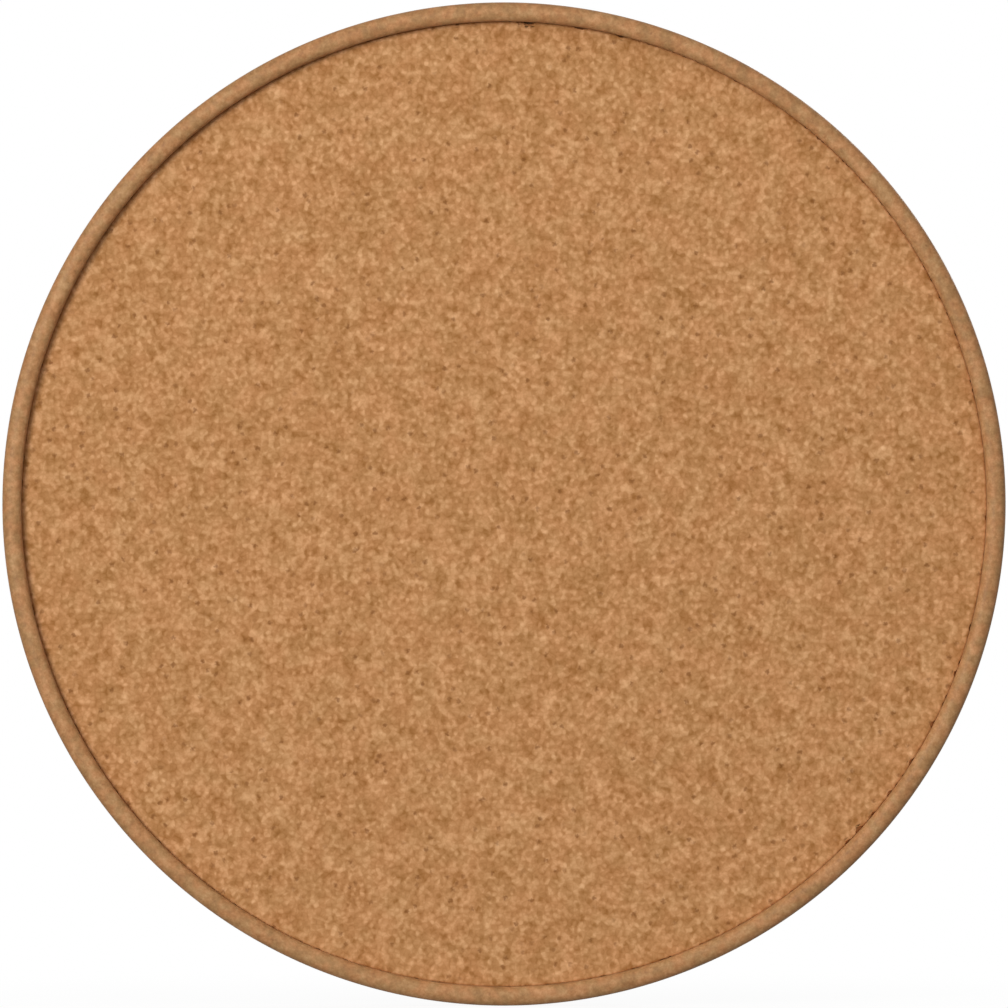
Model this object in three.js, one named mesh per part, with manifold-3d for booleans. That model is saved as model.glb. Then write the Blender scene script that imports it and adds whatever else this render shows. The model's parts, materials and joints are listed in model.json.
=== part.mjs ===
// A round cork bulletin board, in millimetres, as it hangs on a wall.
// +Z is up, +X is to the right of someone facing the board, and the front faces -Y.
// The origin is on the wall plane, on the board's axis.

import * as THREE from 'three';
import { mergeVertices } from 'three/addons/utils/BufferGeometryUtils.js';
import Module from 'manifold-3d';

const wasm = await Module();
wasm.setup();

// ---- Driving dimensions ----

const BOARD_RADIUS = 200;
const BOARD_SEGMENTS = 128; // shared by every disc and ring, so that the gaps between them stay even
const SMALL_SEGMENTS = 24; // round screws and the holes for them

const RIM_FACE_WIDTH = 7.5;
const CREST_INSET = 3.5; // from the rim's inner face to its foremost line
const NOSE_HEIGHT = 3.125; // of the rounded front, along the board's axis
const RIM_DEPTH = 18; // cut from 18 mm sheet
const RIM_CHAMFER = 0.5;
const RABBET_WIDTH = 2.3;
const NOSE_STEPS = 12;

const CORK_THICKNESS = 3;
const CORE_THICKNESS = 4;
const PANEL_THICKNESS = 2.5;
const JOINT_GAP = 0.3; // between the cork's cut edge and the rim
const PANEL_GAP = 0.4; // between the panel and the rabbet
const WORKING_GAP = 0.3; // round anything let into a neighbour
const OVERRUN = 1; // how far a cutter runs on past the face it opens

const POINT_COUNT = 12;
const POINT_LENGTH = 13;
const POINT_WIDTH = 6;
const POINT_THICKNESS = 0.5;
const POINT_BITE = 3.5; // how far a point is driven into the rim
const POINT_TAPER = 4.5;
const POINT_CORNER = 1; // cut off each inner corner

const BUMPER_COUNT = 4;
const BUMPER_RADIUS = 6;
const BUMPER_HEIGHT = 4;
const BUMPER_CIRCLE = 174;
const BUMPER_EDGE = 0.75; // height of the rounding
const BUMPER_SEGMENTS = 32;

const RIM_BACK = -2; // the rim stands clear of the wall on the bumpers

const STRAP_LAYER = 0.625;
const STRAP_WIDTH = 11;
const STRAP_REACH = 36; // from the knuckle's axis to the rounded end
const KNUCKLE_BORE = 1.25;
const KNUCKLE_HEIGHT = 150;
const KNUCKLE_SEGMENTS = 32;
const SCREW_DROPS = [19, 30]; // below the knuckle's axis

const SCREW_RADIUS = 1.5;
const SCREW_LENGTH = 6.5;
const SCREW_TIP = 1.5;
const HEAD_RADIUS = 3.5;
const HEAD_HEIGHT = 1.75;
const HEAD_PROFILE = [[1, 0], [1, 0.5], [0.8, 0.875], [0.45, 1]]; // as shares of its radius and height

const WIRE_RADIUS = 1;
const WIRE_QUARTER_SEGMENTS = 6;
const RING_STEPS = 96;
const RING_HALF_WIDTH = 8; // to the wire's centre line
const RING_LEG = 3;
const RING_CORNER = 2;
const RING_BUTT_GAP = 0.3; // where the wire's two ends meet inside the knuckle
const RING_TILT = 3; // degrees that the ring leans out, lying on its strap

// ---- Planes and radii that follow from them ----

const PANEL_BACK = -BUMPER_HEIGHT;
const PANEL_FRONT = PANEL_BACK - PANEL_THICKNESS;
const CORE_FRONT = PANEL_FRONT - CORE_THICKNESS;
const CORK_FRONT = CORE_FRONT - CORK_THICKNESS;
const RIM_FRONT = RIM_BACK - RIM_DEPTH;

const RIM_INNER = BOARD_RADIUS - RIM_FACE_WIDTH;
const RABBET_RADIUS = RIM_INNER + RABBET_WIDTH;
const CORK_RADIUS = RIM_INNER - JOINT_GAP;
const PANEL_RADIUS = RABBET_RADIUS - PANEL_GAP;

const STRAP_THICKNESS = 2 * STRAP_LAYER;
const STRAP_BACK = PANEL_BACK;
const STRAP_FACE = STRAP_BACK + STRAP_THICKNESS;
const KNUCKLE_RADIUS = KNUCKLE_BORE + STRAP_LAYER;
const KNUCKLE_DEPTH = PANEL_BACK + KNUCKLE_RADIUS;

// ---- Materials ----

function finish(color, roughness, metalness = 0) {
  return new THREE.MeshStandardMaterial({ color, roughness, metalness });
}

const materials = {
  mdf: finish('#b08259', 0.7),
  cork: finish('#b88556', 0.9),
  softboard: finish('#8f7f69', 0.95),
  hardboard: finish('#6f4a2f', 0.6),
  hangerSteel: finish('#c3c4c6', 0.3, 1),
  pointSteel: finish('#9a9c9f', 0.4, 1),
  rubber: finish('#dad8d0', 0.5),
};

// ---- Shape helpers ----

const group = new THREE.Group();

function addPiece(name, geometry, material) {
  const mesh = new THREE.Mesh(geometry, material);
  mesh.name = name;
  group.add(mesh);
  return mesh;
}

// A closed ring or disc about the Y axis, from [radius, y] points.
function revolve(profile, segments = BOARD_SEGMENTS) {
  return new THREE.LatheGeometry(profile.map(([r, y]) => new THREE.Vector2(r, y)), segments);
}

function disc(radius, back, front) {
  return revolve([[0, front], [radius, front], [radius, back], [0, back]]);
}

// A flat plate whose outline is given in X and Z; it fills y from -thickness to 0.
function plate(shape, thickness, curveSegments = 16) {
  const geometry = new THREE.ExtrudeGeometry(shape, { depth: thickness, bevelEnabled: false, curveSegments });
  return geometry.rotateX(Math.PI / 2);
}

// A round pin or cutter along Y, between two y values.
function pin(radius, y0, y1, x, z) {
  const geometry = new THREE.CylinderGeometry(radius, radius, Math.abs(y1 - y0), SMALL_SEGMENTS);
  return geometry.translate(x, (y0 + y1) / 2, z);
}

function toSolid(geometry) {
  const bare = geometry.clone();
  bare.deleteAttribute('normal');
  bare.deleteAttribute('uv');
  const merged = mergeVertices(bare, 1e-4);
  return new wasm.Manifold(new wasm.Mesh({
    numProp: 3,
    vertProperties: Float32Array.from(merged.attributes.position.array),
    triVerts: Uint32Array.from(merged.index.array),
  }));
}

function toGeometry(solid) {
  const mesh = solid.getMesh();
  const geometry = new THREE.BufferGeometry();
  geometry.setAttribute('position', new THREE.BufferAttribute(mesh.vertProperties, 3));
  geometry.setIndex(new THREE.BufferAttribute(mesh.triVerts, 1));
  geometry.computeVertexNormals();
  return geometry;
}

function cutAway(geometry, cutters) {
  return toGeometry(cutters.reduce((solid, cutter) => solid.subtract(toSolid(cutter)), toSolid(geometry)));
}

function join(geometries) {
  return toGeometry(geometries.map(toSolid).reduce((a, b) => a.add(b)));
}

// ---- Rim: a ring with a rounded nose, a rabbet for the panel and a slot for each point ----

function rimProfile() {
  const crest = RIM_INNER + CREST_INSET;
  const nose = [];
  for (let i = 0; i <= NOSE_STEPS; i++) {
    const angle = (Math.PI * i) / NOSE_STEPS;
    const reach = i < NOSE_STEPS / 2 ? CREST_INSET : RIM_FACE_WIDTH - CREST_INSET;
    nose.push([crest - reach * Math.cos(angle), RIM_FRONT + NOSE_HEIGHT * (1 - Math.sin(angle))]);
  }
  return [
    ...nose,
    [BOARD_RADIUS, RIM_BACK - RIM_CHAMFER],
    [BOARD_RADIUS - RIM_CHAMFER, RIM_BACK],
    [RABBET_RADIUS, RIM_BACK],
    [RABBET_RADIUS, PANEL_FRONT],
    [RIM_INNER, PANEL_FRONT],
    nose[0],
  ];
}

const pointInner = RABBET_RADIUS + POINT_BITE - POINT_LENGTH;
const pointTip = RABBET_RADIUS + POINT_BITE;

function pointAngle(i) {
  return (2 * Math.PI * i) / POINT_COUNT;
}

function pointSlot(i) {
  const inner = RABBET_RADIUS - OVERRUN;
  const outer = pointTip + WORKING_GAP;
  const height = POINT_THICKNESS + 2 * WORKING_GAP;
  const slot = new THREE.BoxGeometry(outer - inner, height, POINT_WIDTH + 2 * WORKING_GAP);
  slot.translate((inner + outer) / 2, PANEL_BACK + POINT_THICKNESS / 2, 0);
  return slot.rotateY(-pointAngle(i));
}

const slots = Array.from({ length: POINT_COUNT }, (_, i) => pointSlot(i));
addPiece('rim_ring', cutAway(revolve(rimProfile()), slots), materials.mdf);

// ---- The pinning stack: cork on softboard on hardboard ----

const screwHeights = SCREW_DROPS.map((drop) => KNUCKLE_HEIGHT - drop);
const screwTipDepth = STRAP_FACE - SCREW_LENGTH;

function screwHoles(y0, y1) {
  return screwHeights.map((z) => pin(SCREW_RADIUS + WORKING_GAP, y0, y1, 0, z));
}

addPiece('cork_sheet', disc(CORK_RADIUS, CORE_FRONT, CORK_FRONT), materials.cork);

const core = disc(CORK_RADIUS, PANEL_FRONT, CORE_FRONT);
const coreHoles = screwHoles(screwTipDepth - WORKING_GAP, PANEL_FRONT + OVERRUN);
addPiece('core_board', cutAway(core, coreHoles), materials.softboard);

const panel = disc(PANEL_RADIUS, PANEL_BACK, PANEL_FRONT);
const panelHoles = screwHoles(PANEL_FRONT - OVERRUN, PANEL_BACK + OVERRUN);
addPiece('back_panel', cutAway(panel, panelHoles), materials.hardboard);

// ---- Framer's points: flat steel darts driven into the rim, lying on the panel ----

function pointShape() {
  const half = POINT_WIDTH / 2;
  const shape = new THREE.Shape();
  shape.moveTo(pointTip, 0);
  shape.lineTo(pointTip - POINT_TAPER, half);
  shape.lineTo(pointInner + POINT_CORNER, half);
  shape.lineTo(pointInner, half - POINT_CORNER);
  shape.lineTo(pointInner, POINT_CORNER - half);
  shape.lineTo(pointInner + POINT_CORNER, -half);
  shape.lineTo(pointTip - POINT_TAPER, -half);
  shape.closePath();
  return shape;
}

for (let i = 0; i < POINT_COUNT; i++) {
  const name = `framer_point_${String(i + 1).padStart(2, '0')}`;
  const point = addPiece(name, plate(pointShape(), POINT_THICKNESS), materials.pointSteel);
  point.position.y = PANEL_BACK + POINT_THICKNESS;
  point.rotation.y = -pointAngle(i);
}

// ---- Wall bumpers: soft buttons with a rounded edge ----

function bumper() {
  return revolve([
    [0, PANEL_BACK],
    [BUMPER_RADIUS, PANEL_BACK],
    [BUMPER_RADIUS - BUMPER_EDGE / 2, -BUMPER_EDGE],
    [BUMPER_RADIUS - BUMPER_EDGE, -BUMPER_EDGE / 3],
    [BUMPER_RADIUS - 2 * BUMPER_EDGE, 0],
    [0, 0],
  ], BUMPER_SEGMENTS);
}

for (let i = 0; i < BUMPER_COUNT; i++) {
  const angle = Math.PI / 4 + (2 * Math.PI * i) / BUMPER_COUNT;
  const piece = addPiece(`wall_bumper_${i + 1}`, bumper(), materials.rubber);
  piece.position.set(BUMPER_CIRCLE * Math.cos(angle), 0, BUMPER_CIRCLE * Math.sin(angle));
}

// ---- Hanger: a strip folded double round the ring's bar, held by two screws ----

function strapTongue() {
  const half = STRAP_WIDTH / 2;
  const end = KNUCKLE_HEIGHT - STRAP_REACH + half;
  const shape = new THREE.Shape();
  shape.moveTo(half, KNUCKLE_HEIGHT);
  shape.lineTo(-half, KNUCKLE_HEIGHT);
  shape.lineTo(-half, end);
  shape.absarc(0, end, half, Math.PI, 2 * Math.PI, false);
  shape.closePath();
  const tongue = plate(shape, STRAP_THICKNESS);
  return tongue.translate(0, STRAP_FACE, 0);
}

function knuckle(radius, width) {
  const barrel = new THREE.CylinderGeometry(radius, radius, width, KNUCKLE_SEGMENTS);
  return barrel.rotateZ(Math.PI / 2).translate(0, KNUCKLE_DEPTH, KNUCKLE_HEIGHT);
}

const strapBody = join([strapTongue(), knuckle(KNUCKLE_RADIUS, STRAP_WIDTH)]);
const strapCuts = [
  knuckle(KNUCKLE_BORE, STRAP_WIDTH + 2 * OVERRUN),
  ...screwHoles(STRAP_BACK - OVERRUN, STRAP_FACE + OVERRUN),
];
addPiece('hanger_strap', cutAway(strapBody, strapCuts), materials.hangerSteel);

function screw() {
  const head = HEAD_PROFILE.map(([r, h]) => [HEAD_RADIUS * r, STRAP_FACE + HEAD_HEIGHT * h]);
  return revolve([
    [0, screwTipDepth],
    [SCREW_RADIUS, screwTipDepth + SCREW_TIP],
    [SCREW_RADIUS, STRAP_FACE],
    ...head,
    [0, STRAP_FACE + HEAD_HEIGHT],
  ], SMALL_SEGMENTS);
}

screwHeights.forEach((z, i) => {
  addPiece(`hanger_screw_${i + 1}`, screw(), materials.hangerSteel).position.z = z;
});

// ---- Hanging ring: round wire bent to a D, its ends butted inside the knuckle ----

// A flat path placed in space and walked at an even pace.
class FlatCurve extends THREE.Curve {
  constructor(path) {
    super();
    this.path = path;
  }

  getPoint(t, target = new THREE.Vector3()) {
    const point = this.path.getPointAt(t);
    return target.set(point.x, point.y, 0);
  }
}

// The wire's centre line, with the bar along the top and the bow hanging below it.
function ringPath() {
  const side = RING_HALF_WIDTH;
  const inset = side - RING_CORNER;
  const shoulder = -RING_CORNER;
  const path = new THREE.Path();
  path.moveTo(RING_BUTT_GAP / 2, 0);
  path.lineTo(inset, 0);
  path.absarc(inset, shoulder, RING_CORNER, Math.PI / 2, 0, true);
  path.absarc(0, shoulder - RING_LEG, side, 0, -Math.PI, true);
  path.absarc(-inset, shoulder, RING_CORNER, Math.PI, Math.PI / 2, true);
  path.lineTo(-RING_BUTT_GAP / 2, 0);
  return path;
}

function wireSection() {
  const section = new THREE.Shape();
  section.absarc(0, 0, WIRE_RADIUS, 0, 2 * Math.PI, false);
  return section;
}

const ringWire = new THREE.ExtrudeGeometry(wireSection(), {
  extrudePath: new FlatCurve(ringPath()),
  steps: RING_STEPS,
  curveSegments: WIRE_QUARTER_SEGMENTS,
});
// Stand the ring's plane up, with its foot leaning out a little off the strap.
ringWire.rotateX(Math.PI / 2 + THREE.MathUtils.degToRad(RING_TILT));
const ring = addPiece('hanging_ring', ringWire, materials.hangerSteel);
ring.position.set(0, KNUCKLE_DEPTH, KNUCKLE_HEIGHT);

export default group;
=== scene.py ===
"""The looks of a round cork bulletin board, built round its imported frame. Lengths are metres."""

import json
import math

import bmesh
import bpy
import numpy as np
from mathutils import Matrix, Vector


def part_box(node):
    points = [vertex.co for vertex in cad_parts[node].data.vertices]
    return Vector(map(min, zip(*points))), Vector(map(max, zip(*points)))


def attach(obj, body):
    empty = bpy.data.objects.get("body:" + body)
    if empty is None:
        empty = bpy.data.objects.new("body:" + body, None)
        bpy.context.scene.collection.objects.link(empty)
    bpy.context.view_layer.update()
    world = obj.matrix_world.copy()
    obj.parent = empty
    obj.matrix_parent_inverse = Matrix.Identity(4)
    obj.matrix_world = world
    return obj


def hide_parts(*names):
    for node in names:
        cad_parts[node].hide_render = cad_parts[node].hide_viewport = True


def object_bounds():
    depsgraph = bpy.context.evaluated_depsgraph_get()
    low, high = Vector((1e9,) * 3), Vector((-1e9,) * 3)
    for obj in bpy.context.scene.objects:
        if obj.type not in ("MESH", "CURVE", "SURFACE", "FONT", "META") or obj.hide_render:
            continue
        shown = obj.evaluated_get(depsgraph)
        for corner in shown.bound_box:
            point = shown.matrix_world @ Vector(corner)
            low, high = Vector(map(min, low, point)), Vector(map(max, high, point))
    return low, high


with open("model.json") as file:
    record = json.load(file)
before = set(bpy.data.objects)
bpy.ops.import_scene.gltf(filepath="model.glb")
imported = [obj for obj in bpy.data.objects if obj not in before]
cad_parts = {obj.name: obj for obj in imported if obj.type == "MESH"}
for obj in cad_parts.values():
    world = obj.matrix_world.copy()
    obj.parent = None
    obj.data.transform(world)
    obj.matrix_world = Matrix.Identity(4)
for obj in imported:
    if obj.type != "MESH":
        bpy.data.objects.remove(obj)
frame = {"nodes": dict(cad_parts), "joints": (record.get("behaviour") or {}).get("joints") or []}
CAD_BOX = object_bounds()
MM = 0.001
BOARD = "board"
RING = "hanger_ring"


# ---- What the frame says about places and sizes ----

SWING = frame["joints"][0]
PIVOT = Vector(SWING["pos_m"])


def node_points(name):
    """A CAD node's vertices as an (n, 3) array."""
    return np.array([v.co for v in frame["nodes"][name].data.vertices])


rim_points = node_points("rim_ring")
rim_radii = np.hypot(rim_points[:, 0], rim_points[:, 2])
RIM_FRONT, RIM_BACK = rim_points[:, 1].min(), rim_points[:, 1].max()
RIM_OUTER, RIM_INNER = rim_radii.max(), rim_radii.min()
RABBET = rim_radii[rim_points[:, 1] > RIM_BACK - 0.01 * MM].min()
CREST = rim_radii[rim_points[:, 1] < RIM_FRONT + 0.01 * MM].mean()
NOSE_HEIGHT = rim_points[rim_radii < RIM_INNER + 0.01 * MM, 1].min() - RIM_FRONT

CORK_LOW, CORK_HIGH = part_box("cork_sheet")
CORK_FRONT, CORK_BACK, CORK_RADIUS = CORK_LOW.y, CORK_HIGH.y, CORK_HIGH.x

PANEL_LOW, PANEL_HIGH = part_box("back_panel")
PANEL_FRONT, PANEL_BACK, PANEL_RADIUS = PANEL_LOW.y, PANEL_HIGH.y, PANEL_HIGH.x


# ---- Node materials ----

def linear(code):
    """A hex colour as the linear values that a shader takes."""
    channels = [int(code[i:i + 2], 16) / 255 for i in (1, 3, 5)]
    return (*[c / 12.92 if c <= 0.04045 else ((c + 0.055) / 1.055) ** 2.4 for c in channels], 1)


class Material:
    """A node material with one Principled shader, and short calls for the nodes that feed it."""

    def __init__(self, name, **sockets):
        self.data = bpy.data.materials.new(name)
        self.data.use_nodes = True
        self.tree = self.data.node_tree
        self.tree.nodes.clear()
        self.shader = self.tree.nodes.new("ShaderNodeBsdfPrincipled")
        self.output = self.tree.nodes.new("ShaderNodeOutputMaterial")
        self.tree.links.new(self.shader.outputs[0], self.output.inputs["Surface"])
        self.coords = self.tree.nodes.new("ShaderNodeTexCoord").outputs["Object"]
        self.relief = None
        for socket, value in sockets.items():
            self.shader.inputs[socket.replace("_", " ")].default_value = value

    def feed(self, socket, value):
        """Links value into a socket, or sets it there if it is plain."""
        if isinstance(value, bpy.types.NodeSocket):
            self.tree.links.new(value, socket)
        else:
            socket.default_value = value

    def node(self, kind, inputs, **settings):
        made = self.tree.nodes.new("ShaderNode" + kind)
        for setting, value in settings.items():
            setattr(made, setting, value)
        for socket, value in inputs.items():
            self.feed(made.inputs[socket], value)
        return made

    def noise(self, size, detail=2.0, distortion=0.0, vector=None):
        """Smooth noise from 0 to 1, with features about size across."""
        inputs = {
            "Vector": vector or self.coords,
            "Scale": 1 / size,
            "Detail": detail,
            "Distortion": distortion,
        }
        return self.node("TexNoise", inputs).outputs["Fac"]

    def cells(self, size, vector, feature="F1", dimensions="3D", **inputs):
        """Grains about size across, each with a colour of its own."""
        inputs = {"Vector": vector, "Scale": 1 / size, **inputs}
        made = self.node("TexVoronoi", {}, feature=feature, voronoi_dimensions=dimensions)
        for socket, value in inputs.items():
            self.feed(made.inputs[socket], value)
        return made

    def jitter(self, size, reach):
        """The coordinates pushed about by up to reach, so that grains get ragged outlines."""
        push = self.node("TexNoise", {"Vector": self.coords, "Scale": 1 / size, "Detail": 1.0})
        centred = self.vector("SUBTRACT", push.outputs["Color"], (0.5, 0.5, 0.5))
        return self.vector("ADD", self.coords, self.vector("MULTIPLY", centred, (2 * reach,) * 3))

    def on_face(self, vector):
        """A point's place on the board's face, for grains that are worked out in the flat."""
        parts = self.node("SeparateXYZ", {0: vector}).outputs
        return self.node("CombineXYZ", {"X": parts["X"], "Y": parts["Z"]}).outputs[0]

    def vector(self, operation, a, b):
        return self.node("VectorMath", {0: a, 1: b}, operation=operation).outputs["Vector"]

    def radius(self):
        """Distance from the board's axis."""
        flat = self.vector("MULTIPLY", self.coords, (1, 0, 1))
        return self.node("VectorMath", {0: flat}, operation="LENGTH").outputs["Value"]

    def math(self, operation, a, b=0.0):
        return self.node("Math", {0: a, 1: b}, operation=operation).outputs[0]

    def weighted(self, *terms, offset=0.0):
        """The sum of (value, weight) pairs."""
        total = offset
        for value, weight in terms:
            inputs = {0: value, 1: weight, 2: total}
            total = self.node("Math", inputs, operation="MULTIPLY_ADD").outputs[0]
        return total

    def step(self, value, low, high, to_low=0.0, to_high=1.0):
        """A smooth step from to_low at low to to_high at high."""
        inputs = {"Value": value, "From Min": low, "From Max": high, "To Min": to_low, "To Max": to_high}
        return self.node("MapRange", inputs, interpolation_type="SMOOTHSTEP").outputs["Result"]

    def channel(self, colour, index):
        return self.node("SeparateColor", {"Color": colour}).outputs[index]

    def ramp(self, value, *stops):
        """A colour for value, from (position, hex colour) pairs."""
        made = self.node("ValToRGB", {"Fac": value})
        elements = made.color_ramp.elements
        while len(elements) < len(stops):
            elements.new(0.5)
        for element, (position, code) in zip(elements, stops):
            element.position = position
            element.color = linear(code)
        return made.outputs["Color"]

    def mix(self, share, a, b, blend="MIX"):
        made = self.node("Mix", {}, data_type="RGBA", blend_type=blend)
        for socket, value in ((0, share), (6, a), (7, b)):
            self.feed(made.inputs[socket], value)
        return made.outputs[2]

    def bump(self, height, distance):
        """Adds relief: height runs from 0 to 1 over distance."""
        inputs = {"Height": height, "Distance": distance, "Strength": 1.0}
        if self.relief:
            inputs["Normal"] = self.relief
        self.relief = self.node("Bump", inputs).outputs["Normal"]

    def finish(self, colour, roughness):
        self.feed(self.shader.inputs["Base Color"], colour)
        self.feed(self.shader.inputs["Roughness"], roughness)
        if self.relief:
            self.feed(self.shader.inputs["Normal"], self.relief)
        return self.data


def cork_material():
    """Fine agglomerated cork: pressed granules of close browns, creases between them darkened with
    painted shade, specks of bark, and painted shade along the edge by the rim.
    """
    m = Material("cork", Specular_IOR_Level=0.08)
    ragged = m.on_face(m.jitter(1.8 * MM, 0.5 * MM))
    soft = {"feature": "SMOOTH_F1", "dimensions": "2D", "Smoothness": 1.0}
    large_tone = m.channel(m.cells(2.8 * MM, ragged, **soft).outputs["Color"], 0)
    small_tone = m.channel(m.cells(1.6 * MM, ragged, **soft).outputs["Color"], 1)
    medium = m.noise(1.9 * MM, 0.0)
    wide = m.noise(4.2 * MM, 0.0)
    broad = m.noise(11 * MM, 1.0)
    granule = m.cells(2.3 * MM, ragged, "DISTANCE_TO_EDGE", "2D")
    crease = m.step(granule.outputs["Distance"], 0.0, 0.22, 1.0, 0.0)
    # the creases between granules are darkened in the colour: painted shade in the crevices, beside
    # their relief in the bump
    tone = m.weighted(
        (large_tone, 0.17), (small_tone, 0.30), (medium, 0.30), (wide, 0.23), (broad, 0.14),
        (crease, -0.07), offset=-0.025,
    )
    colour = m.ramp(
        tone,
        (0.0, "#7d4a23"), (0.25, "#9f6b3b"), (0.5, "#bb8657"), (0.75, "#d7a273"), (1.0, "#f2c192"),
    )
    tint = m.ramp(m.noise(10 * MM, 1.0), (0.35, "#fcfffd"), (0.65, "#fffdfb"))
    colour = m.mix(1.0, colour, tint, "MULTIPLY")
    bark = m.cells(4.2 * MM, m.on_face(m.jitter(1.2 * MM, 1.1 * MM)), dimensions="2D")
    chosen = m.step(m.channel(bark.outputs["Color"], 2), 0.80, 0.96)
    spot = m.step(bark.outputs["Distance"], 0.06, 0.32, 0.6, 0.0)
    colour = m.mix(m.math("MULTIPLY", chosen, spot), colour, linear("#704019"))
    # painted shade: the last 0.7 mm of the cork by the rim is darkened, as the joint with the rim shades
    # it
    joint_shade = m.step(m.radius(), CORK_RADIUS - 0.7 * MM, CORK_RADIUS, 0.0, 0.25)
    colour = m.mix(joint_shade, colour, m.mix(1.0, colour, linear("#c79c70"), "MULTIPLY"))
    m.bump(m.weighted((large_tone, 0.4), (small_tone, 0.5), (crease, -0.15), offset=0.1), 0.06 * MM)
    return m.finish(colour, m.step(medium, 0.3, 0.7, 0.8, 0.95))


def mdf_material():
    """Sanded and sealed MDF: close fibre mottling under a dull lacquer, with painted shade darkening it
    towards the outer edge.
    """
    m = Material("mdf", Specular_IOR_Level=0.18)
    fibre = m.noise(0.9 * MM, 2.0, 0.6)
    clump = m.noise(2.4 * MM, 1.0)
    broad = m.noise(9 * MM, 1.0)
    tone = m.weighted((fibre, 0.32), (clump, 0.42), (broad, 0.26))
    colour = m.ramp(tone, (0.33, "#9a6d45"), (0.5, "#b28256"), (0.67, "#c8986c"))
    tint = m.ramp(m.noise(4.5 * MM, 1.0), (0.36, "#f6fcf9"), (0.64, "#fff7f1"))
    colour = m.mix(1.0, colour, tint, "MULTIPLY")
    fleck = m.cells(2.8 * MM, m.jitter(0.9 * MM, 0.5 * MM))
    chosen = m.step(m.channel(fleck.outputs["Color"], 0), 0.80, 0.86)
    spot = m.step(fleck.outputs["Distance"], 0.08, 0.24, 0.35, 0.0)
    colour = m.mix(m.math("MULTIPLY", chosen, spot), colour, linear("#7c5232"))
    # painted shade: the colour is darkened over the last 3.5 mm towards the outer edge, where the
    # rounded shoulder turns away from the light
    outside = m.step(m.radius(), RIM_OUTER - 3.5 * MM, RIM_OUTER, 0.0, 0.5)
    colour = m.mix(outside, colour, m.mix(1.0, colour, linear("#dcd9d6"), "MULTIPLY"))
    m.bump(fibre, 0.02 * MM)
    return m.finish(colour, m.step(clump, 0.3, 0.7, 0.5, 0.62))


def softboard_material():
    """Loose grey-brown wood fibre."""
    m = Material("softboard", Specular_IOR_Level=0.2)
    fibre = m.noise(0.5 * MM, 4.0, 1.5)
    clump = m.noise(4 * MM)
    tone = m.weighted((fibre, 0.6), (clump, 0.4))
    colour = m.ramp(tone, (0.3, "#4c3b2a"), (0.5, "#6b5641"), (0.7, "#85705a"))
    m.bump(fibre, 0.1 * MM)
    return m.finish(colour, m.step(clump, 0.3, 0.7, 0.85, 0.97))


def hardboard_material():
    """The smooth face of brown hardboard: pressed fibre, faintly glossy, with pale stray strands."""
    m = Material("hardboard", Specular_IOR_Level=0.45)
    fibre = m.noise(0.9 * MM, 4.0, 2.5)
    clump = m.noise(6 * MM, 3.0)
    broad = m.noise(60 * MM)
    tone = m.weighted((fibre, 0.45), (clump, 0.35), (broad, 0.20))
    colour = m.ramp(tone, (0.32, "#4b2f1c"), (0.5, "#6a4529"), (0.68, "#86603f"))
    for stretch in ((0.14, 1, 1), (1, 1, 0.14), (0.3, 1, 0.3)):
        strand = m.noise(0.7 * MM, 1.0, 1.2, m.vector("MULTIPLY", m.coords, stretch))
        colour = m.mix(m.step(strand, 0.62, 0.74, 0.0, 0.20), colour, linear("#a87f5a"))
    m.bump(m.weighted((fibre, 0.5), (clump, 0.5)), 0.04 * MM)
    return m.finish(colour, m.step(tone, 0.35, 0.65, 0.40, 0.62))


def steel_material(name, code, dull):
    """Plated sheet or wire: a cloudy plating with fine scratches along X."""
    m = Material(name, Metallic=1.0)
    cloud = m.noise(2.5 * MM, 3.0)
    scratch = m.noise(0.8 * MM, 3.0, vector=m.vector("MULTIPLY", m.coords, (0.15, 1.0, 1.0)))
    colour = m.mix(m.step(cloud, 0.35, 0.65, 0.0, 0.4), linear(code), linear("#8d8f93"))
    m.bump(scratch, 0.006 * MM)
    worn = m.weighted((cloud, 0.5), (scratch, 0.5))
    return m.finish(colour, m.step(worn, 0.35, 0.65, dull - 0.08, dull + 0.1))


def rubber_material():
    """Pale moulded rubber with a dusty bloom."""
    m = Material("rubber", Specular_IOR_Level=0.5)
    dust = m.noise(1.2 * MM, 4.0)
    broad = m.noise(5 * MM)
    colour = m.ramp(m.weighted((dust, 0.5), (broad, 0.5)), (0.35, "#b3b0a8"), (0.65, "#d4d1ca"))
    m.bump(dust, 0.015 * MM)
    return m.finish(colour, m.step(dust, 0.3, 0.7, 0.38, 0.6))


CORK = cork_material()
MDF = mdf_material()
SOFTBOARD = softboard_material()
HARDBOARD = hardboard_material()
ZINC = steel_material("zinc_plated_steel", "#cfd0d2", 0.30)
BLUED = steel_material("point_steel", "#9fa1a4", 0.38)
RUBBER = rubber_material()


# ---- Meshes ----

def mesh_from(name, points, faces):
    mesh = bpy.data.meshes.new(name)
    mesh.from_pydata([tuple(p) for p in points], [], faces)
    mesh.validate()
    return outward(mesh)


def outward(mesh):
    """Turns every face of a closed mesh to point out of it."""
    work = bmesh.new()
    work.from_mesh(mesh)
    bmesh.ops.recalc_face_normals(work, faces=work.faces)
    work.to_mesh(mesh)
    work.free()
    return mesh


def add_object(name, mesh):
    thing = bpy.data.objects.new(name, mesh)
    bpy.context.scene.collection.objects.link(thing)
    return thing


def add_piece(name, mesh, material, node, body=BOARD, crisp=40):
    """Puts a piece in the place of a CAD node, smooth apart from edges over crisp degrees."""
    piece = add_object(name, mesh)
    mesh.polygons.foreach_set("use_smooth", [True] * len(mesh.polygons))
    mesh.set_sharp_from_angle(angle=math.radians(crisp))
    mesh.materials.clear()
    mesh.materials.append(material)
    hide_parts(node)
    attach(piece, body)
    return piece


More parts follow.
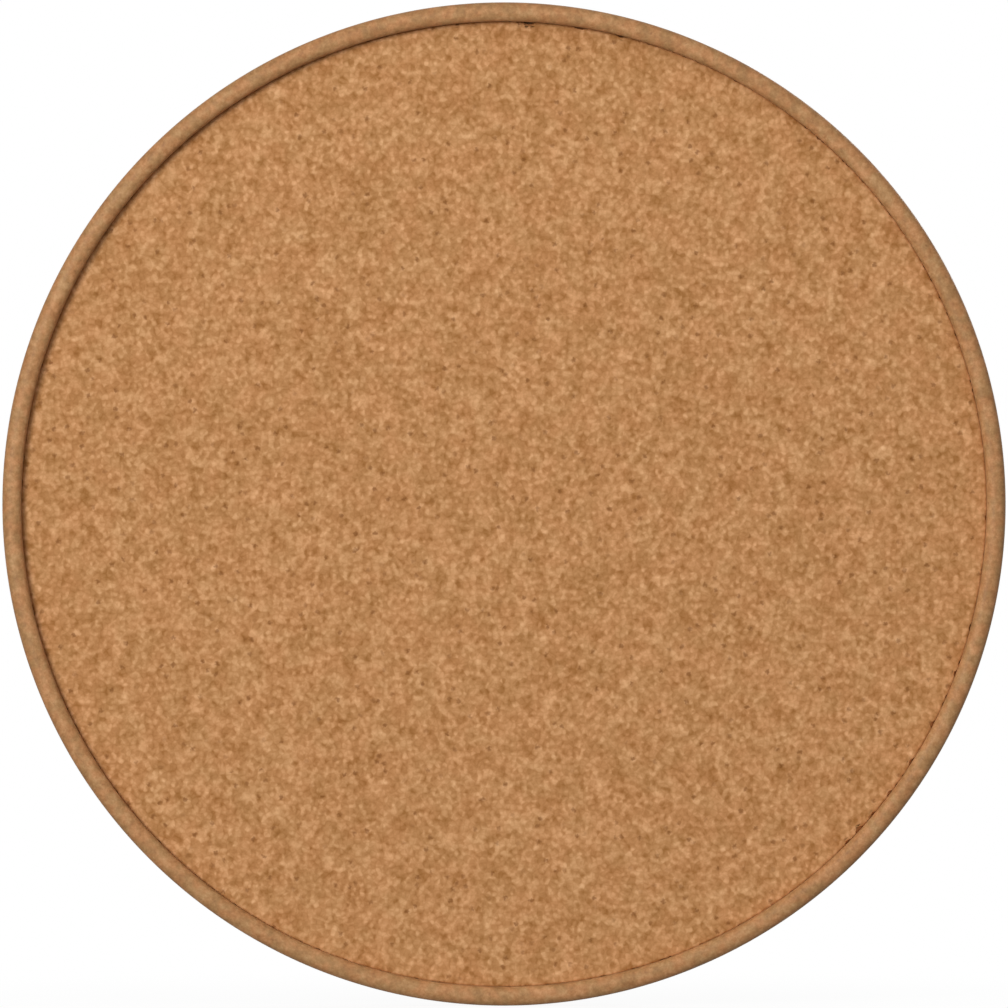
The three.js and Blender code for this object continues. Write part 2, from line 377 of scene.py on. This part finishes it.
def arc(centre, radius, start, end, steps):
    """Points on a round stretch of a profile, with the angles in degrees."""
    angles = np.radians(np.linspace(start, end, steps + 1))
    return [(centre[0] + radius * math.cos(a), centre[1] + radius * math.sin(a)) for a in angles]


def bow(centre, reach, height, start, end, steps):
    """Like arc, on an ellipse."""
    turns = arc((0, 0), 1, start, end, steps)
    return [(centre[0] + reach * u, centre[1] + height * v) for u, v in turns]


def loft(name, rows, ends=False):
    """A closed solid through rows of points, each row a ring with the same count.

    The last row joins the first, or with ends the first and last are closed off by flat faces.
    """
    rows = [list(row) for row in rows]
    count = len(rows[0])
    points = [p for row in rows for p in row]
    faces = []
    for row in range(len(rows) - 1 if ends else len(rows)):
        here = row * count
        there = (row + 1) % len(rows) * count
        for i in range(count):
            j = (i + 1) % count
            faces.append((here + i, here + j, there + j, there + i))
    if ends:
        faces.append(tuple(range(count)))
        faces.append(tuple(range(len(points) - count, len(points))))
    return mesh_from(name, points, faces)


def revolve(name, profile, segments, centre=(0, 0), ends=False):
    """A solid about the Y axis through centre, from the (radius, y) points round its section."""
    turns = np.arange(segments) * 2 * math.pi / segments
    rows = [
        [(centre[0] + r * math.cos(a), y, centre[1] + r * math.sin(a)) for a in turns]
        for r, y in profile
    ]
    return loft(name, rows, ends)


def plate(name, outline, back, front, ease):
    """A flat plate from an outline of (x, z) points, between two y values, with eased edges."""
    corners = np.array(outline)
    before, after = np.roll(corners, 1, axis=0), np.roll(corners, -1, axis=0)
    first, second = corners - before, after - corners
    first /= np.linalg.norm(first, axis=1)[:, None]
    second /= np.linalg.norm(second, axis=1)[:, None]
    inward = np.column_stack([-(first + second)[:, 1], (first + second)[:, 0]])
    inward /= (1 + (first * second).sum(axis=1))[:, None]
    half = 1 - math.sqrt(0.5)
    rows = []
    for inset, y in (
        (ease, back), (half * ease, back - half * ease), (0, back - ease),
        (0, front + ease), (half * ease, front + half * ease), (ease, front),
    ):
        rows.append([(x, y, z) for x, z in corners + inset * inward])
    return loft(name, rows, ends=True)


def cut(mesh, cutters):
    """Takes the cutters' solids out of a mesh."""
    body = add_object(mesh.name, mesh)
    tools = [add_object("cutter", cutter) for cutter in cutters]
    for tool in tools:
        modifier = body.modifiers.new("cut", "BOOLEAN")
        modifier.operation = "DIFFERENCE"
        modifier.solver = "EXACT"
        modifier.object = tool
    bpy.context.view_layer.update()
    shaped = body.evaluated_get(bpy.context.evaluated_depsgraph_get())
    result = bpy.data.meshes.new_from_object(shaped)
    for thing in [body, *tools]:
        bpy.data.objects.remove(thing)
    return result


def drill(radius, back, front, x, z):
    """A cutter for a round hole along Y."""
    return revolve("drill", [(radius, back), (radius, front)], 48, (x, z), ends=True)


# ---- Rim ----

EASE = 0.5 * MM  # on the rim's outer rear edge, and half that on its inner one


def make_rim():
    """The MDF ring: rounded nose, eased rear edges and the rabbet that the panel lies in."""
    crest = (CREST, RIM_FRONT + NOSE_HEIGHT)
    profile = [
        *bow(crest, CREST - RIM_INNER, NOSE_HEIGHT, 180, 270, 20),
        *bow(crest, RIM_OUTER - CREST, NOSE_HEIGHT, 270, 360, 20)[1:],
        *arc((RIM_OUTER - EASE, RIM_BACK - EASE), EASE, 0, 90, 5),
        *arc((RABBET + EASE / 2, RIM_BACK - EASE / 2), EASE / 2, 90, 180, 3),
        (RABBET, PANEL_FRONT),
        (RIM_INNER, PANEL_FRONT),
    ]
    add_piece("rim", revolve("rim", profile, 512), MDF, "rim_ring")


# ---- Cork ----

CORK_RINGS = 160
EDGE_POINTS = 12 * CORK_RINGS
JOINT = 0.01 * MM  # the least gap between the cork and the rim

# Crumbs missing from the cork's cut edge, as (degrees from +X towards +Z, width, depth): some have
# gone right through the sheet, the rest only from its face.
NOTCHES = [
    (87.1, 5.0 * MM, 0.7 * MM),
    (81.0, 4.0 * MM, 0.25 * MM),
    (76.0, 3.4 * MM, 0.2 * MM),
]
CHIPS = [
    (87.1, 6.4 * MM, 1.0 * MM),
    (88.1, 2.0 * MM, 1.6 * MM),
    (81.0, 5.0 * MM, 0.5 * MM),
    (76.0, 4.4 * MM, 0.4 * MM),
    (95.5, 2.6 * MM, 0.6 * MM),
    (-14.8, 3.4 * MM, 0.5 * MM),
    (-20.6, 3.0 * MM, 0.6 * MM),
    (-27.2, 3.2 * MM, 1.1 * MM),
    (-32.3, 3.6 * MM, 0.9 * MM),
    (-36.9, 3.4 * MM, 0.8 * MM),
    (-40.0, 2.6 * MM, 0.5 * MM),
    (-42.5, 4.6 * MM, 1.2 * MM),
    (-44.5, 3.6 * MM, 0.7 * MM),
]
SMALL_CRUMBS = 140

# The rows of points that turn down over the cork's edge, as (distance in from the edge, depth
# below the face, share of a chip that has closed up again by that depth).
EDGE_ROWS = [
    (1.2 * MM, 0.0, 0.0),
    (0.8 * MM, 0.02 * MM, 0.0),
    (0.45 * MM, 0.07 * MM, 0.0),
    (0.18 * MM, 0.15 * MM, 0.0),
    (0.04 * MM, 0.24 * MM, 0.0),
    (0.0, 0.34 * MM, 0.0),
    (0.0, 0.7 * MM, 0.3),
    (0.0, 1.1 * MM, 0.75),
    (0.0, 1.5 * MM, 1.0),
]


def lattice(i, j, seed):
    """A fixed random number from 0 to 1 for each whole-numbered point."""
    mixed = (i * 374761393 + j * 668265263 + seed * 974711) & 0xFFFFFFFF
    mixed = ((mixed ^ (mixed >> 13)) * 1274126177) & 0xFFFFFFFF
    return ((mixed ^ (mixed >> 16)) & 0xFFFF) / 0xFFFF


def value_noise(points, size, seed):
    """Smooth noise from 0 to 1 at (n, 2) points, with features about size across."""
    cells = points / size
    corner = np.floor(cells).astype(np.int64)
    share = cells - corner
    share = share * share * (3 - 2 * share)
    total = np.zeros(len(points))
    for dx in (0, 1):
        for dy in (0, 1):
            weight = np.abs(1 - dx - share[:, 0]) * np.abs(1 - dy - share[:, 1])
            total += weight * lattice(corner[:, 0] + dx, corner[:, 1] + dy, seed)
    return total


def around(radius, angles):
    return np.column_stack([radius * np.cos(angles), radius * np.sin(angles)])


def scoop(angles, degrees, width):
    """The shape of a missing crumb round the edge: 1 at its middle, 0 outside it."""
    away = (angles - math.radians(degrees) + math.pi) % (2 * math.pi) - math.pi
    return (1 - np.clip(np.abs(away) * CORK_RADIUS / (width / 2), 0, 1) ** 2) ** 1.2


def cork_edge(angles):
    """The radius of the cork's cut edge at each angle: whole, and short of a crumb here and there."""
    rng = np.random.default_rng(12)
    full = around(CORK_RADIUS, angles)
    ragged = value_noise(full, 1.8 * MM, 5) * value_noise(full, 14 * MM, 8)
    whole = RIM_INNER - JOINT - 0.04 * MM * ragged
    for degrees, width, depth in NOTCHES:
        whole -= depth * scoop(angles, degrees, width)
    chips = list(CHIPS)
    for _ in range(SMALL_CRUMBS):
        chips.append((rng.uniform(0, 360), rng.uniform(0.8, 2.4) * MM, rng.uniform(0.05, 0.35) * MM))
    lost = np.zeros(len(angles))
    for degrees, width, depth in chips:
        lost += depth * scoop(angles, degrees, width)
    return whole, whole - lost


def cork_surface(flat):
    """Points on the pressed face: on the CAD's front plane or a little behind it."""
    granules = value_noise(flat, 2.9 * MM, 21)
    swells = value_noise(flat, 7.0 * MM, 31)
    depth = 0.07 * MM * granules + 0.04 * MM * swells
    return np.column_stack([flat[:, 0], CORK_FRONT + depth, flat[:, 1]])


def stitch(start_in, count_in, start_out, count_out):
    """Triangles between an inner and an outer ring of points."""
    faces = []
    i = j = 0
    while i < count_in or j < count_out:
        inner = start_in + i % count_in
        outer = start_out + j % count_out
        if i == count_in or (j + 1) * count_in <= (i + 1) * count_out and j < count_out:
            faces.append((inner, outer, start_out + (j + 1) % count_out))
            j += 1
        else:
            if count_in > 1:
                faces.append((inner, outer, start_in + (i + 1) % count_in))
            i += 1
    return faces


def make_cork():
    """The cork disc, with a pressed granular face and a crumbly cut edge."""
    spacing = CORK_RADIUS / CORK_RINGS
    rings = [np.zeros((1, 2))]
    for ring in range(1, CORK_RINGS):
        rings.append(around(ring * spacing, np.arange(6 * ring) * math.pi / (3 * ring)))
    rows = [cork_surface(ring) for ring in rings]
    # the outermost rows follow the ragged edge and turn down over it
    angles = np.arange(EDGE_POINTS) * 2 * math.pi / EDGE_POINTS
    whole, broken = cork_edge(angles)
    for inset, drop, closed in EDGE_ROWS:
        edge = broken + closed * (whole - broken)
        row = cork_surface(around(edge - inset, angles))
        row[:, 1] += drop
        rows.append(row)
    back = around(whole, angles)
    rows.append(np.column_stack([back[:, 0], np.full(EDGE_POINTS, CORK_BACK), back[:, 1]]))
    rows.append(np.array([[0.0, CORK_BACK, 0.0]]))
    faces = []
    start = 0
    for row, following in zip(rows[:-2], rows[1:-1]):
        faces.extend(stitch(start, len(row), start + len(row), len(following)))
        start += len(row)
    middle = start + EDGE_POINTS
    faces.extend((start + i, start + (i + 1) % EDGE_POINTS, middle) for i in range(EDGE_POINTS))
    add_piece("cork", mesh_from("cork", np.vstack(rows), faces), CORK, "cork_sheet", crisp=70)


# ---- Panel and what holds it ----

STRAP_LOW, STRAP_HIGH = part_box("hanger_strap")
SCREW_NODES = ("hanger_screw_1", "hanger_screw_2")
SCREW_HOLE = 1.8 * MM
PANEL_EASE = 0.3 * MM


def screw_height(node):
    low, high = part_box(node)
    return (low.z + high.z) / 2


def make_panel():
    """The hardboard disc, with a hole for each screw."""
    centre = PANEL_RADIUS - PANEL_EASE
    profile = [
        *arc((centre, PANEL_BACK - PANEL_EASE), PANEL_EASE, 90, 0, 3),
        *arc((centre, PANEL_FRONT + PANEL_EASE), PANEL_EASE, 0, -90, 3),
    ]
    panel = revolve("panel", profile, 384, ends=True)
    holes = [
        drill(SCREW_HOLE, PANEL_BACK + MM, PANEL_FRONT - MM, 0, screw_height(node))
        for node in SCREW_NODES
    ]
    add_piece("panel", cut(panel, holes), HARDBOARD, "back_panel", crisp=50)


POINT_TAPER = 4.5 * MM
POINT_CORNER = 1.0 * MM
POINT_TIP = 0.15 * MM
POINT_EASE = 0.08 * MM


def make_points():
    """The glazier's points: stamped steel darts with their burrs rubbed off."""
    low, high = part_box("framer_point_01")
    half, inner, tip = high.z, low.x, high.x
    outline = [
        (tip, POINT_TIP), (tip - POINT_TAPER, half), (inner + POINT_CORNER, half),
        (inner, half - POINT_CORNER), (inner, POINT_CORNER - half),
        (inner + POINT_CORNER, -half), (tip - POINT_TAPER, -half), (tip, -POINT_TIP),
    ]
    names = sorted(name for name in frame["nodes"] if name.startswith("framer_point_"))
    for number, node in enumerate(names, 1):
        low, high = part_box(node)
        middle = (low + high) / 2
        turn = math.atan2(middle.z, middle.x)
        turned = [
            (x * math.cos(turn) - z * math.sin(turn), x * math.sin(turn) + z * math.cos(turn))
            for x, z in outline
        ]
        mesh = plate("point", turned, high.y, low.y, POINT_EASE)
        add_piece(f"point_{number:02d}", mesh, BLUED, node, crisp=25)


BUMPER_SHOULDER = 1.3 * MM
BUMPER_DRAFT = 0.25 * MM


def make_bumpers():
    """The rubber feet: soft buttons with a slight draft and a rounded shoulder."""
    for number in range(1, 5):
        node = f"wall_bumper_{number}"
        low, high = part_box(node)
        radius = (high.x - low.x) / 2
        top = radius - BUMPER_DRAFT
        round_centre = (top - BUMPER_SHOULDER, high.y - BUMPER_SHOULDER)
        profile = [
            (radius, low.y),
            (radius, low.y + BUMPER_DRAFT),
            *arc(round_centre, BUMPER_SHOULDER, 0, 75, 8),
            (top - BUMPER_SHOULDER * 0.9, high.y - 0.02 * MM),
            (top - BUMPER_SHOULDER * 1.4, high.y),
            (0.3 * MM, high.y),
        ]
        centre = ((low.x + high.x) / 2, (low.z + high.z) / 2)
        bumper = revolve("bumper", profile, 64, centre, ends=True)
        add_piece(f"bumper_{number}", bumper, RUBBER, node, crisp=60)


# ---- Hanger ----

STRIP = 0.58 * MM  # thickness of the strap's steel
LAYER = 0.625 * MM  # room for each layer
WRAP = 1.5625 * MM  # radius of the strap's middle round the ring's bar
STRAP_HALF = STRAP_HIGH.x


def strap_path():
    """The folded strip's middle, as (y, z, how far inside its round end) points."""
    end = STRAP_LOW.z + STRAP_HALF
    low_layer = PANEL_BACK + LAYER / 2
    top_layer = low_layer + LAYER
    turn_back = PIVOT.y - top_layer
    tail = [math.radians(a) for a in (86, 78, 68, 56, 42, 28, 14, 0)]
    path = [(low_layer, end - STRAP_HALF * math.sin(a), math.cos(a)) for a in tail]
    path += [(low_layer, z, 1) for z in np.linspace(end, PIVOT.z, 12)[1:-1]]
    path += [(y, z, 1) for y, z in arc((PIVOT.y, PIVOT.z), WRAP, 180, -90, 36)]
    throat = (PIVOT.y, PIVOT.z - WRAP - turn_back)
    path += [(y, z, 1) for y, z in arc(throat, turn_back, 90, 180, 10)[1:]]
    top = path[-1][1]
    path += [(top_layer, z, 1) for z in np.linspace(top, end, 12)[1:-1]]
    path += [(top_layer, end - STRAP_HALF * math.sin(a), math.cos(a)) for a in reversed(tail)]
    return path


def strip_section(half_width, half_thick):
    """A rounded oblong, as (across, through) points."""
    corner = min(0.14 * MM, half_width * 0.6)
    section = []
    for start, x, t in ((0, 1, 1), (90, -1, 1), (180, -1, -1), (270, 1, -1)):
        centre = (x * (half_width - corner), t * (half_thick - corner))
        section += arc(centre, corner, start, start + 90, 3)
    return section


def make_strap():
    """The hanger strap: a steel strip folded double round the ring's bar."""
    path = strap_path()
    rows = []
    for i, (y, z, share) in enumerate(path):
        before, after = path[max(i - 1, 0)], path[min(i + 1, len(path) - 1)]
        along = Vector((0, after[0] - before[0], after[1] - before[1])).normalized()
        through = Vector((0, -along.z, along.y))
        section = strip_section(STRAP_HALF * share, STRIP / 2)
        rows.append([Vector((x, y, z)) + through * t for x, t in section])
    strap = loft("strap", rows, ends=True)
    holes = [
        drill(SCREW_HOLE, PANEL_BACK - MM, STRAP_HIGH.y, 0, screw_height(node))
        for node in SCREW_NODES
    ]
    add_piece("strap", cut(strap, holes), ZINC, "hanger_strap", crisp=35)


HEAD_HEIGHT = 1.75 * MM
HEAD_EASE = 0.15 * MM
HEAD_WALL = 0.5 * MM
HEAD_ROUND = 1.25 * MM
SHANK = 1.5 * MM
RECESS = ((0.5, 4.6, 1.0), (-0.3, 3.2, 0.8), (-1.2, 1.0, 0.4))  # above the crown, length, width; mm


def cross_slot(crown, turn):
    """Two cutters for a Phillips recess."""
    cutters = []
    for quarter in (0, math.pi / 2):
        rows = []
        for above, length, width in RECESS:
            corners = ((1, 1), (-1, 1), (-1, -1), (1, -1))
            local = [(u * length * MM / 2, v * width * MM / 2) for u, v in corners]
            placed = [rotated(p, turn + quarter) for p in local]
            rows.append([(u, crown + above * MM, v) for u, v in placed])
        cutters.append(loft("slot", rows, ends=True))
    return cutters


def rotated(point, angle):
    x, z = point
    return x * math.cos(angle) - z * math.sin(angle), x * math.sin(angle) + z * math.cos(angle)


def make_screws():
    """Pan-head screws with cross recesses, driven to different angles."""
    for number, (node, turn) in enumerate(zip(SCREW_NODES, (23, 71)), 1):
        low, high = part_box(node)
        crown = high.y
        under = crown - HEAD_HEIGHT
        head = high.x
        profile = [
            (0.2 * MM, low.y),
            (SHANK, low.y + SHANK),
            (SHANK, under),
            (head - HEAD_EASE, under),
            (head, under + HEAD_EASE),
            (head, under + HEAD_WALL),
            *arc((head - HEAD_ROUND, crown - HEAD_ROUND), HEAD_ROUND, 0, 62, 8),
            (head * 0.5, crown - 0.04 * MM),
            (head * 0.2, crown),
        ]
        screw = revolve("screw", profile, 64, ends=True)
        slots = cross_slot(crown, math.radians(turn))
        shaped = cut(screw, slots)
        shaped.transform(Matrix.Translation((0, 0, screw_height(node))))
        add_piece(f"screw_{number}", shaped, ZINC, node, crisp=35)


WIRE = 1.0 * MM
RING_CORNER = 2.0 * MM
RING_LEG = 3.0 * MM
RING_BUTT = 0.15 * MM
RING_TILT = math.radians(3)


def make_ring():
    """The D-ring: round wire, its two ends butted inside the strap's knuckle."""
    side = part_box("hanging_ring")[1].x - WIRE
    inset, shoulder = side - RING_CORNER, -RING_CORNER
    path = [(RING_BUTT, 0), (inset / 2, 0)]
    path += arc((inset, shoulder), RING_CORNER, 90, 0, 14)
    path += arc((0, shoulder - RING_LEG), side, 0, -180, 72)
    path += arc((-inset, shoulder), RING_CORNER, 180, 90, 14)
    path += [(-inset / 2, 0), (-RING_BUTT, 0)]
    lean = Vector((0, math.sin(RING_TILT), -math.cos(RING_TILT)))
    facing = Vector((1, 0, 0)).cross(lean)
    rows = []
    for i, (x, down) in enumerate(path):
        before, after = path[max(i - 1, 0)], path[min(i + 1, len(path) - 1)]
        along = (Vector((after[0] - before[0], 0, 0)) - lean * (after[1] - before[1])).normalized()
        sideways = along.cross(facing)
        middle = PIVOT + Vector((x, 0, 0)) - lean * down
        turns = np.arange(24) * 2 * math.pi / 24
        rows.append([middle + WIRE * (sideways * math.cos(a) + facing * math.sin(a)) for a in turns])
    add_piece("ring", loft("ring", rows, ends=True), ZINC, "hanging_ring", RING)


make_rim()
make_cork()
make_panel()
make_points()
make_bumpers()
make_strap()
make_screws()
make_ring()
core = frame["nodes"]["core_board"]
core.data.materials.clear()
core.data.materials.append(SOFTBOARD)


# ---- Floor, light and camera ----

def make_floor():
    """A pale floor that washes out to the white of the surroundings."""
    low = CAD_BOX[0].z
    reach = 30
    corners = [(-reach, -reach, low), (reach, -reach, low), (reach, reach, low), (-reach, reach, low)]
    mesh = bpy.data.meshes.new("floor")
    mesh.from_pydata(corners, [], [(0, 1, 2, 3)])
    floor = add_object("floor", mesh)
    m = Material("floor")
    m.finish(m.ramp(m.noise(0.4), (0.4, "#f2f2f0"), (0.6, "#f5f5f4")), 0.6)
    away = m.node("VectorMath", {0: m.coords, 1: (0, 0, low)}, operation="DISTANCE").outputs["Value"]
    glow = m.node("Emission", {"Color": (1, 1, 1, 1)}).outputs[0]
    washed = m.step(away, 0.0, 0.45, 0.92, 1.0)
    blend = m.node("MixShader", {0: washed, 1: m.shader.outputs[0], 2: glow}).outputs[0]
    m.feed(m.output.inputs["Surface"], blend)
    mesh.materials.append(m.data)
    floor.visible_diffuse = False
    floor.visible_glossy = False


def make_world():
    """A white surround that gives matt surfaces a softer light, brightest from above and in front."""
    world = bpy.data.worlds.new("studio")
    bpy.context.scene.world = world
    world.use_nodes = True
    tree = world.node_tree
    tree.nodes.clear()
    make = tree.nodes.new
    split = make("ShaderNodeSeparateXYZ")
    tree.links.new(make("ShaderNodeTexCoord").outputs["Generated"], split.inputs[0])
    facing = make("ShaderNodeMath")
    facing.operation = "ABSOLUTE"
    tree.links.new(split.outputs["Y"], facing.inputs[0])
    level = make("ShaderNodeMath")
    level.operation = "MULTIPLY_ADD"
    tree.links.new(facing.outputs[0], level.inputs[0])
    level.inputs[1].default_value = 0.2
    level.inputs[2].default_value = 0.2
    lean = make("ShaderNodeMath")
    lean.operation = "MULTIPLY_ADD"
    tree.links.new(split.outputs["Z"], lean.inputs[0])
    lean.inputs[1].default_value = 0.08
    tree.links.new(level.outputs[0], lean.inputs[2])
    strength = make("ShaderNodeMapRange")
    strength.inputs["To Min"].default_value = 1.0
    tree.links.new(lean.outputs[0], strength.inputs["To Max"])
    tree.links.new(make("ShaderNodeLightPath").outputs["Is Diffuse Ray"], strength.inputs["Value"])
    background = make("ShaderNodeBackground")
    background.inputs["Color"].default_value = (1, 1, 1, 1)
    tree.links.new(strength.outputs["Result"], background.inputs["Strength"])
    tree.links.new(background.outputs[0], make("ShaderNodeOutputWorld").inputs["Surface"])


def make_light(name, direction, distance, size, power):
    """A round soft light, looking at the board's centre."""
    direction = Vector(direction).normalized()
    data = bpy.data.lights.new(name, "AREA")
    data.shape = "DISK"
    data.size = size
    data.energy = power
    lamp = add_object(name, data)
    lamp.location = direction * distance
    lamp.rotation_mode = "QUATERNION"
    lamp.rotation_quaternion = direction.to_track_quat("Z", "Y")


def make_camera():
    """Square on to the board, with a long lens."""
    data = bpy.data.cameras.new("camera")
    data.lens = 500
    board_share = 0.9954  # of the picture's half width that the board's radius fills
    distance = RIM_OUTER / board_share * data.lens / (data.sensor_width / 2)
    camera = add_object("camera", data)
    camera.location = (0, RIM_FRONT + NOSE_HEIGHT - distance, 0)
    camera.rotation_euler = (math.radians(90), 0, 0)
    bpy.context.scene.camera = camera


make_floor()
make_world()
make_light("key", (-0.43, -0.87, 0.2), 3.5, 1.4, 79)
make_light("top", (0, -0.7, 0.7), 1.0, 1.0, 1.35)
make_light("behind", (0.5, 0.75, 0.45), 3.0, 1.5, 30)
make_camera()
bpy.context.scene.view_settings.view_transform = "Standard"
bpy.context.scene.view_settings.look = "None"
